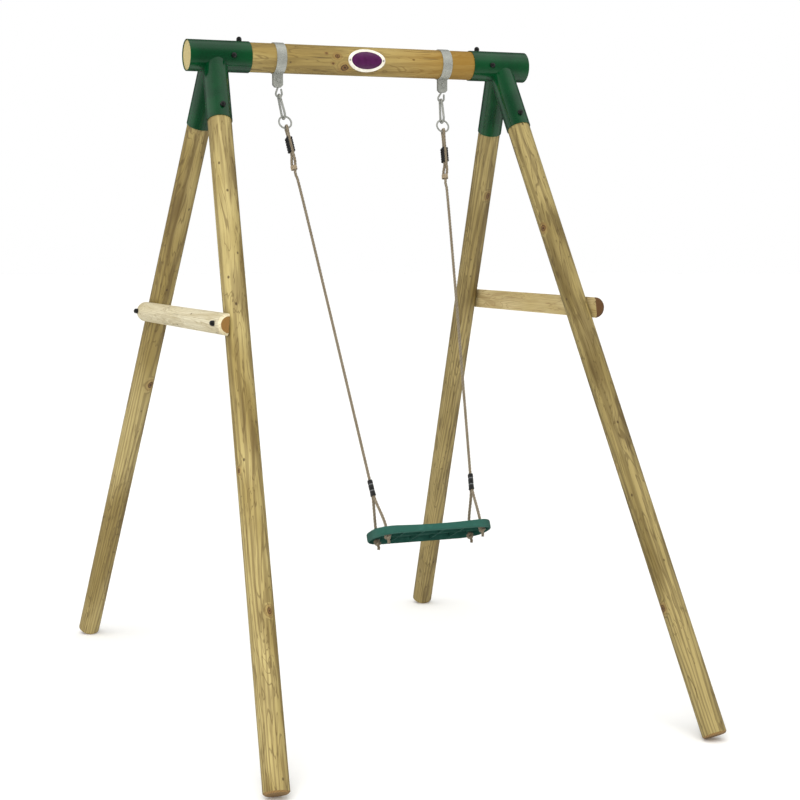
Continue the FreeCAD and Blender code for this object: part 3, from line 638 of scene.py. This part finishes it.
def knot_distance(made, point, radius, knots):
    """The distance to the nearest knot, in knot radii, and never more than 9."""
    wobble = 0.007
    noise = made.add("TexNoise", Vector=point, Scale=70.0, Detail=2.0).outputs["Color"]
    moved = made.add("VectorMath", {"operation": "MULTIPLY_ADD"})
    made.feed(moved.inputs[0], noise)
    moved.inputs[1].default_value = (wobble, wobble, wobble)
    made.feed(moved.inputs[2], point)
    nearest = 9.0
    for distance, angle, size in knots:
        around = math.radians(angle)
        centre = (
            radius * math.cos(around) + wobble / 2,
            radius * math.sin(around) + wobble / 2,
            distance + wobble / 2,
        )
        local = made.mapped(moved.outputs[0], "TEXTURE", place=centre, scale=(size, size, size * 1.25))
        length = made.add("VectorMath", {"operation": "LENGTH"})
        made.feed(length.inputs[0], local)
        nearest = made.maths("MINIMUM", nearest, length.outputs["Value"])
    return nearest


def grain_rings(made, point, nearest, draw):
    """Growth rings about a pith that runs slightly askew, bent round the knots."""
    askew = (math.radians(draw.uniform(0.35, 0.8)), math.radians(draw.uniform(-0.7, -0.2)), 0.0)
    pith = (draw.uniform(-0.012, 0.012), draw.uniform(-0.012, 0.012), draw.uniform(-0.4, 0.4))
    tilted = made.mapped(point, place=pith, turn=askew)
    stretched = made.mapped(tilted, scale=(1.0, 1.0, 0.05))
    push = made.step(nearest, 0.5, 3.2, 0.009, 0.0)
    bent = made.add("VectorMath", {"operation": "ADD"})
    made.feed(bent.inputs[0], stretched)
    made.feed(bent.inputs[1], made.add("CombineXYZ", X=push, Y=push).outputs[0])
    wave = made.add("TexWave", {"wave_type": "RINGS", "rings_direction": "Z"}, Vector=bent.outputs[0])
    wave.inputs["Scale"].default_value = 62.0
    wave.inputs["Distortion"].default_value = 5.5
    wave.inputs["Detail"].default_value = 2.0
    wave.inputs["Detail Scale"].default_value = 0.55
    wave.inputs["Detail Roughness"].default_value = 0.5
    return made.step(wave.outputs["Fac"], 0.35, 0.98)


def pin_knots(made, point, shift):
    """Small dark specks, where twigs were."""
    moved = made.mapped(point, place=shift, scale=(1.0, 1.0, 0.7))
    cells = made.add("TexVoronoi", Vector=moved, Scale=17.0)
    return made.step(cells.outputs["Distance"], 0.04, 0.085, 0.8, 0.0)


def drying_checks(made, point, shift):
    """Thin dark splits along the grain, where the wood has dried."""
    long_point = made.mapped(point, place=shift, scale=(1.0, 1.0, 0.02))
    lines = made.noise(long_point, 60.0, 1.0, 0.4)
    off = made.maths("ABSOLUTE", made.maths("SUBTRACT", lines, 0.5))
    thin = made.step(off, 0.003, 0.010, 1.0, 0.0)
    where = made.noise(made.mapped(point, place=shift, scale=(1.0, 1.0, 0.22)), 16.0, 2.0)
    return made.maths("MULTIPLY", thin, made.step(where, 0.57, 0.66))


def knot_colours(made, base, nearest):
    """A tawny halo, a brown body, a black rim and a dark heart."""
    halo = made.step(nearest, 0.9, 2.6, 0.5, 0.0)
    base = made.mix(halo, base, colour("8d6a35"))
    body = made.step(nearest, 0.85, 1.1, 0.9, 0.0)
    base = made.mix(body, base, colour("6f4d26"))
    from_rim = made.maths("ABSOLUTE", made.maths("SUBTRACT", nearest, 0.92))
    rim = made.step(from_rim, 0.05, 0.2, 0.85, 0.0)
    base = made.mix(rim, base, colour("33210f"))
    heart = made.step(nearest, 0.25, 0.5, 0.85, 0.0)
    return made.mix(heart, base, colour("2e1e10"))


def end_grain(made, base, rings, along, sawn, reach):
    """Sawn ends, with the rings showing as circles."""
    normal = made.add("TexCoord").outputs["Normal"]
    facing = made.add("VectorMath", {"operation": "DOT_PRODUCT"})
    made.feed(facing.inputs[0], normal)
    facing.inputs[1].default_value = along.normalized()
    ends = made.step(made.maths("ABSOLUTE", facing.outputs["Value"]), *reach)
    face = made.mix(made.maths("MULTIPLY", rings, 0.55), colour(sawn[0]), colour(sawn[1]))
    return made.mix(ends, base, face)


def painted_steel(name, base, faded, roughness):
    """Gloss powder coat, with the faint ripple it always has."""
    made = Finish(name, roughness=roughness)
    point = made.object_point()
    made.shader.inputs["Coat Weight"].default_value = 0.5
    made.shader.inputs["Coat Roughness"].default_value = 0.05
    made.shader.inputs["Specular IOR Level"].default_value = 0.3
    ripple = made.noise(point, 420.0, 2.0)
    slow = made.noise(point, 9.0, 2.0)
    tone = made.mix(made.step(slow, 0.35, 0.7), colour(base), colour(faded))
    specks = made.noise(made.mapped(point, scale=(1.0, 1.0, 0.4)), 130.0, 5.0, 0.7)
    scuffs = made.step(specks, 0.70, 0.78)
    tone = made.mix(made.maths("MULTIPLY", scuffs, 0.2), tone, colour("2c5f44"))
    gloss = made.maths("ADD", made.maths("MULTIPLY", scuffs, 0.2), roughness)
    return made.finish(tone, made.bump(ripple, 0.0002, 0.35), gloss)


def zinc(name, base, roughness, spangle):
    """Galvanised or plated steel with its crystals, dulled in patches."""
    made = Finish(name, roughness=roughness, metallic=0.45)
    point = made.object_point()
    crystals = made.add("TexVoronoi", Vector=point, Scale=spangle).outputs["Color"]
    level = made.add("SeparateColor", Color=crystals).outputs[0]
    tone = made.mix(made.maths("MULTIPLY", level, 0.3), colour(base), colour("9c9e97"))
    dull = made.step(made.noise(point, 45.0, 3.0, 0.6), 0.42, 0.72)
    tone = made.mix(made.maths("MULTIPLY", dull, 0.3), tone, colour("8b8c84"))
    rough = made.maths("ADD", made.maths("MULTIPLY", dull, 0.16), roughness)
    return made.finish(tone, made.bump(made.noise(point, 260.0, 2.0), 0.0001, 0.12), rough)


def plastic(name, base, worn, roughness, pebble, depth):
    """Moulded plastic: a pebbled skin, paler where it is rubbed."""
    made = Finish(name, roughness=roughness)
    point = made.object_point()
    skin_cells = made.add("TexVoronoi", {"feature": "SMOOTH_F1"}, Vector=point, Scale=pebble)
    rubbed = made.step(made.noise(point, 38.0, 5.0, 0.68), 0.5, 0.75)
    tone = made.mix(made.maths("MULTIPLY", rubbed, 0.35), colour(base), colour(worn))
    rough = made.maths("ADD", made.maths("MULTIPLY", rubbed, 0.12), roughness)
    return made.finish(tone, made.bump(skin_cells.outputs["Distance"], depth, 0.6), rough)


def rope_finish(name, pale, deep):
    """Spun yarns across each strand, with painted shade between the yarns and in the grooves between
    the strands.
    """
    strands = 3.0
    yarns = 7.0                # in each strand
    slope = -230.0             # yarns crossed in each metre along the rope
    made = Finish(name, roughness=0.85)
    made.shader.inputs["Sheen Weight"].default_value = 0.25
    made.shader.inputs["Sheen Roughness"].default_value = 0.5
    surface = made.add("UVMap", {"uv_map": "surface"}).outputs[0]
    parts = made.add("SeparateXYZ", Vector=surface)
    around = parts.outputs["X"]
    along = parts.outputs["Y"]
    strand = made.maths("FRACT", made.maths("MULTIPLY", around, strands))
    off = made.maths("ABSOLUTE", made.maths("SUBTRACT", strand, 0.5))
    groove_shade = made.step(off, 0.10, 0.02)
    across = made.maths("MULTIPLY", around, strands * yarns)
    lay = made.maths("ADD", across, made.maths("MULTIPLY", along, slope))
    yarn = made.maths("ABSOLUTE", made.maths("SINE", made.maths("MULTIPLY", lay, math.pi)))
    fibre = made.noise(made.object_point(), 900.0, 4.0, 0.7)
    stain = made.noise(made.object_point(), 35.0, 3.0)
    tone = made.mix(made.step(fibre, 0.3, 0.7), colour(pale), colour(deep))
    tone = made.mix(made.step(stain, 0.42, 0.7, 0.0, 0.4), tone, colour("6d5a40"))
    # painted shade: darker in the hollows between the yarns
    tone = made.mix(made.step(yarn, 0.45, 0.0, 0.0, 0.55), tone, colour("5f4c34"))
    # painted shade: the grooves between the strands are darkened almost to black-brown
    tone = made.mix(made.maths("MULTIPLY", groove_shade, 0.85), tone, colour("33281a"))
    height = made.maths("ADD", made.maths("MULTIPLY", yarn, 0.8), made.maths("MULTIPLY", fibre, 0.6))
    return made.finish(tone, made.bump(height, 0.0006, 0.8))


def twine_finish():
    """Three-ply twine, with painted shade between its plies."""
    made = Finish("waxed_twine", roughness=0.7)
    surface = made.add("UVMap", {"uv_map": "surface"}).outputs[0]
    parts = made.add("SeparateXYZ", Vector=surface)
    across = made.maths("MULTIPLY", parts.outputs["X"], 3.0)
    lay = made.maths("ADD", across, made.maths("MULTIPLY", parts.outputs["Y"], 450.0))
    ply = made.maths("ABSOLUTE", made.maths("SINE", made.maths("MULTIPLY", lay, math.pi)))
    # painted shade: darker in the hollows between the plies
    tone = made.mix(made.step(ply, 0.0, 0.5), colour("5d4f3a"), colour("a3937a"))
    return made.finish(tone, made.bump(ply, 0.0003, 0.7))


def sleeve_finish():
    """Matt black rubber with two pale rubbed bands."""
    made = Finish("black_rubber", roughness=0.5)
    surface = made.add("UVMap", {"uv_map": "surface"}).outputs[0]
    depth = made.add("SeparateXYZ", Vector=surface).outputs["Y"]
    bands = 0.0
    for centre in SLEEVE_BANDS:
        off = made.maths("ABSOLUTE", made.maths("SUBTRACT", depth, centre))
        bands = made.maths("ADD", bands, made.step(off, 0.0010, 0.0018, 1.0, 0.0))
    grime = made.noise(made.object_point(), 160.0, 4.0, 0.65)
    tone = made.mix(made.step(grime, 0.4, 0.75), colour("141414"), colour("2b2b2a"))
    tone = made.mix(made.maths("MULTIPLY", bands, 0.55), tone, colour("8f9293"))
    return made.finish(tone, made.bump(grime, 0.0002, 0.4))


def badge_face(name, base, second, roughness):
    """Enamel, with a soft mottling under its gloss."""
    made = Finish(name, roughness=roughness)
    made.shader.inputs["Coat Weight"].default_value = 0.6
    made.shader.inputs["Coat Roughness"].default_value = 0.1
    point = made.object_point()
    tone = made.mix(made.step(made.noise(point, 60.0, 3.0), 0.35, 0.7), colour(base), colour(second))
    return made.finish(tone, made.bump(made.noise(point, 500.0, 2.0), 0.0001, 0.25))


# ---- finishing the CAD nodes ------------------------------------------------------------
def paint(node, material):
    """Give a CAD node one material."""
    mesh = NODES[node].data
    mesh.materials.clear()
    mesh.materials.append(material)


def leg_line(side, end):
    """A leg's top on the beam axis and its direction down."""
    top = Vector((SIDES[side] * LEG_TOP_X, 0.0, BEAM_Z))
    down = Vector((math.tan(LEG_CANT) * SIDES[side], math.tan(LEG_SPLAY) * ENDS[end], -1.0))
    return top, down.normalized()


def finish_beam(seed):
    """The beam's wood, yellower towards the right end, with its knots."""
    half = BEAM_LENGTH / 2
    knots = [
        (half - 0.107, 167, 0.0075),
        (half - 0.078, 213, 0.0110),
        (half - 0.123, 196, 0.0035),
        (half - 0.146, 157, 0.0035),
        (half + 0.180, 40, 0.0120),
        (0.380, 330, 0.0100),
        (0.260, 80, 0.0090),
    ]
    paint("top_beam", wood(
        "beam_pine", Vector((-half, 0.0, BEAM_Z)), Vector((1, 0, 0)), seed,
        "b09c60", "8f7940", "5f4a20", BEAM_RADIUS, knots, grain=0.34,
        warm=(0.6, 1.0, "8a6410"), sawn=("c6b680", "a8945a"),
    ))


def finish_legs(seed):
    """Each leg's wood, with its own knots and tones."""
    legs = {
        ("left", "front"): (
            ("b2a169", "8e7b42", "57421c"),
            [(0.42, 200, 0.007), (1.95, 60, 0.008), (1.50, 150, 0.006)],
        ),
        ("left", "back"): (
            ("b2a068", "8d7a42", "543f1a"),
            [(1.29, 250, 0.011), (0.62, 80, 0.010), (1.75, 60, 0.010)],
        ),
        ("right", "front"): (
            ("9f8e59", "7b6a37", "4c3a17"),
            [(0.66, 170, 0.009), (1.46, 250, 0.012), (1.55, 215, 0.009), (2.05, 190, 0.010)],
        ),
        ("right", "back"): (
            ("a18f59", "7f6c38", "4e3b17"),
            [(0.50, 240, 0.009), (1.25, 120, 0.010), (2.1, 260, 0.009)],
        ),
    }
    for place_in_row, ((side, end), (tones, knots)) in enumerate(legs.items()):
        top, down = leg_line(side, end)
        paint("leg_" + end + "_" + side, wood(
            "leg_pine_" + end + "_" + side, top, down, seed + 7 * place_in_row, *tones,
            LEG_RADIUS, knots, grain=0.45,
        ))


def finish_braces(seed):
    """The side rails' wood: the left one bleached, the right one darker at its end."""
    tones = {
        "left": ("ddd5b8", "d0c4a0", "a8966a"),
        "right": ("ccbb8a", "b9a56c", "8e7140"),
    }
    sawn = {"left": ("8a642b", "5f4018"), "right": ("5f3f1a", "402810")}
    reach = {"left": (0.74, 0.95), "right": (0.5, 0.72)}
    knots = [(0.35, 150, 0.007)]
    for place_in_row, side in enumerate(SIDES):
        low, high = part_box("brace_" + side)
        centre = (low + high) / 2
        start = Vector((centre.x, low.y, centre.z))
        paint("brace_" + side, wood(
            "brace_pine_" + side, start, Vector((0, 1, 0)), seed + 7 * place_in_row, *tones[side],
            BRACE_RADIUS, knots, grain=0.3, sawn=sawn[side], reach=reach[side],
        ))


def finish_poles():
    finish_beam(11)
    finish_legs(21)
    finish_braces(49)


def finish_hardware():
    """Finishes for the steel, the plastic, the badge and the seat."""
    green = painted_steel("green_powder_coat", "023319", "04401f", 0.2)
    strap = zinc("galvanised_strap", "b0b2aa", 0.24, 90.0)
    bright = zinc("bright_zinc", "a7a9a3", 0.22, 40.0)
    bolts = zinc("zinc_bolts", "a9aba4", 0.36, 120.0)
    caps = plastic("black_cap_plastic", "121312", "353735", 0.38, 900.0, 0.0001)
    slider = plastic("black_slider_plastic", "151514", "3a3936", 0.42, 700.0, 0.0002)
    rim = badge_face("badge_rim_enamel", "ece8dc", "d9d3c2", 0.28)
    field = badge_face("badge_field_enamel", "4a1346", "43103e", 0.2)
    seat = plastic("teal_seat_plastic", "1d5145", "3c7568", 0.46, 520.0, 0.0005)
    for side in SIDES:
        paint("bracket_" + side, green)
        paint("hanger_strap_" + side, strap)
        for node in ("s_hook_", "snap_hook_", "snap_gate_", "snap_gate_pin_", "rope_ring_"):
            paint(node + side, bright)
        paint("rope_adjuster_" + side, slider)
    for node in ("bracket_screws", "brace_screws", "hanger_bolts", "hanger_nuts",
                 "hanger_bushes", "badge_screws"):
        paint(node, bolts)
    for node in ("bracket_screw_caps", "brace_screw_caps"):
        paint(node, caps)
    paint("badge_plate", rim)
    paint("badge_field", field)
    paint("seat", seat)


def add_rope_work():
    """Ropes, knots, bindings and sleeves, each in place of its CAD solid."""
    laid = rope_finish("laid_rope", "978b73", "6e624e")
    twine = twine_finish()
    rubber = sleeve_finish()
    for side in SIDES:
        add_swing_rope(side, laid)
    knots = []
    for side in SIDES:
        for end in ENDS:
            knots.append(add_yoke_rope(side, end, laid))
    for knot in knots:
        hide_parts("yoke_knots")
    for side in SIDES:
        wrap = binding(side)
        wrap.data.materials.append(twine)
        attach(wrap, "swing")
        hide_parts("rope_binding_" + side)
        sleeve = rope_sleeve(side)
        sleeve.data.materials.append(rubber)
        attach(sleeve, "swing")
        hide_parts("rope_sleeve_" + side)


# ---- stage -----------------------------------------------------------------------------
def add_floor():
    """A pale disc, wide enough to have no visible edge."""
    count = 64
    vertices = [(0.0, 0.0, 0.0)]
    for k in range(count):
        angle = 2 * math.pi * k / count
        vertices.append((FLOOR_REACH * math.cos(angle), FLOOR_REACH * math.sin(angle), 0.0))
    faces = [(0, 1 + k, 1 + (k + 1) % count) for k in range(count)]
    floor = mesh_object("floor", vertices, faces, smooth=False)
    made = Finish("pale_floor", roughness=0.9)
    tone = made.mix(made.noise(made.object_point(), 1.5, 2.0), colour("f7f7f5"), colour("fbfbfa"))
    floor.data.materials.append(made.finish(tone))
    floor.visible_glossy = False


def add_lamp(data, heading):
    """A lamp that shines along a heading and stays out of reflections."""
    lamp = bpy.data.objects.new(data.name, data)
    lamp.rotation_euler = Vector(heading).to_track_quat("-Z", "Y").to_euler()
    lamp.visible_glossy = False
    bpy.context.scene.collection.objects.link(lamp)
    return lamp


def add_front_box():
    """A large soft box beside the camera."""
    data = bpy.data.lights.new("front_box", "AREA")
    data.shape = "RECTANGLE"
    data.size = BOX_SIZE[0]
    data.size_y = BOX_SIZE[1]
    data.energy = BOX_POWER
    lamp = add_lamp(data, Vector(BOX_AIM) - Vector(BOX_PLACE))
    lamp.location = BOX_PLACE


def add_sun():
    """A very soft sun, so that the whole floor is lit alike."""
    data = bpy.data.lights.new("soft_sun", "SUN")
    data.energy = SUN_POWER
    data.angle = SUN_WIDTH
    data.color = (1.0, 0.99, 0.97)
    add_lamp(data, SUN_HEADING)


def background(tree, level):
    """A plain white background at one level."""
    made = tree.nodes.new("ShaderNodeBackground")
    made.inputs["Color"].default_value = (1.0, 1.0, 1.0, 1.0)
    made.inputs["Strength"].default_value = level
    return made.outputs[0]


def blended(tree, share, first, second):
    """The first shader where the share is 0, the second where it is 1."""
    made = tree.nodes.new("ShaderNodeMixShader")
    for socket, value in zip(made.inputs, (share, first, second)):
        tree.links.new(value, socket)
    return made.outputs[0]


def world_maths(tree, operation, *values):
    made = tree.nodes.new("ShaderNodeMath")
    made.operation = operation
    for socket, value in zip(made.inputs, values):
        tree.links.new(value, socket)
    return made.outputs[0]


def dark_ends(tree):
    """How far a direction looks into the unlit ends of the studio, before and behind the set."""
    level = tree.nodes.new("ShaderNodeVectorMath")
    level.operation = "DOT_PRODUCT"
    level.inputs[1].default_value = (math.sin(CAMERA_YAW), math.cos(CAMERA_YAW), 0.0)
    tree.links.new(tree.nodes.new("ShaderNodeTexCoord").outputs["Generated"], level.inputs[0])
    edge = tree.nodes.new("ShaderNodeMapRange")
    edge.interpolation_type = "SMOOTHSTEP"
    edge.inputs["From Min"].default_value = DARK_END_EDGE[0]
    edge.inputs["From Max"].default_value = DARK_END_EDGE[1]
    tree.links.new(world_maths(tree, "ABSOLUTE", level.outputs["Value"]), edge.inputs["Value"])
    return edge.outputs["Result"]


def add_world():
    """White to the eye, a little dimmer as a light, with dark ends in reflections."""
    world = bpy.data.worlds.new("studio")
    world.use_nodes = True
    tree = world.node_tree
    tree.nodes.clear()
    path = tree.nodes.new("ShaderNodeLightPath")
    in_gloss = world_maths(tree, "MULTIPLY", path.outputs["Is Glossy Ray"], dark_ends(tree))
    room = blended(tree, in_gloss, background(tree, ROOM_LEVEL), background(tree, DARK_END_LEVEL))
    seen = background(tree, BACKDROP_LEVEL)
    shown = blended(tree, path.outputs["Is Camera Ray"], room, seen)
    tree.links.new(shown, tree.nodes.new("ShaderNodeOutputWorld").inputs[0])
    bpy.context.scene.world = world


def add_stage():
    add_floor()
    add_world()
    add_sun()
    add_front_box()
    bpy.context.scene.view_settings.view_transform = "Standard"


add_camera()
add_rope_work()
finish_poles()
finish_hardware()
add_stage()
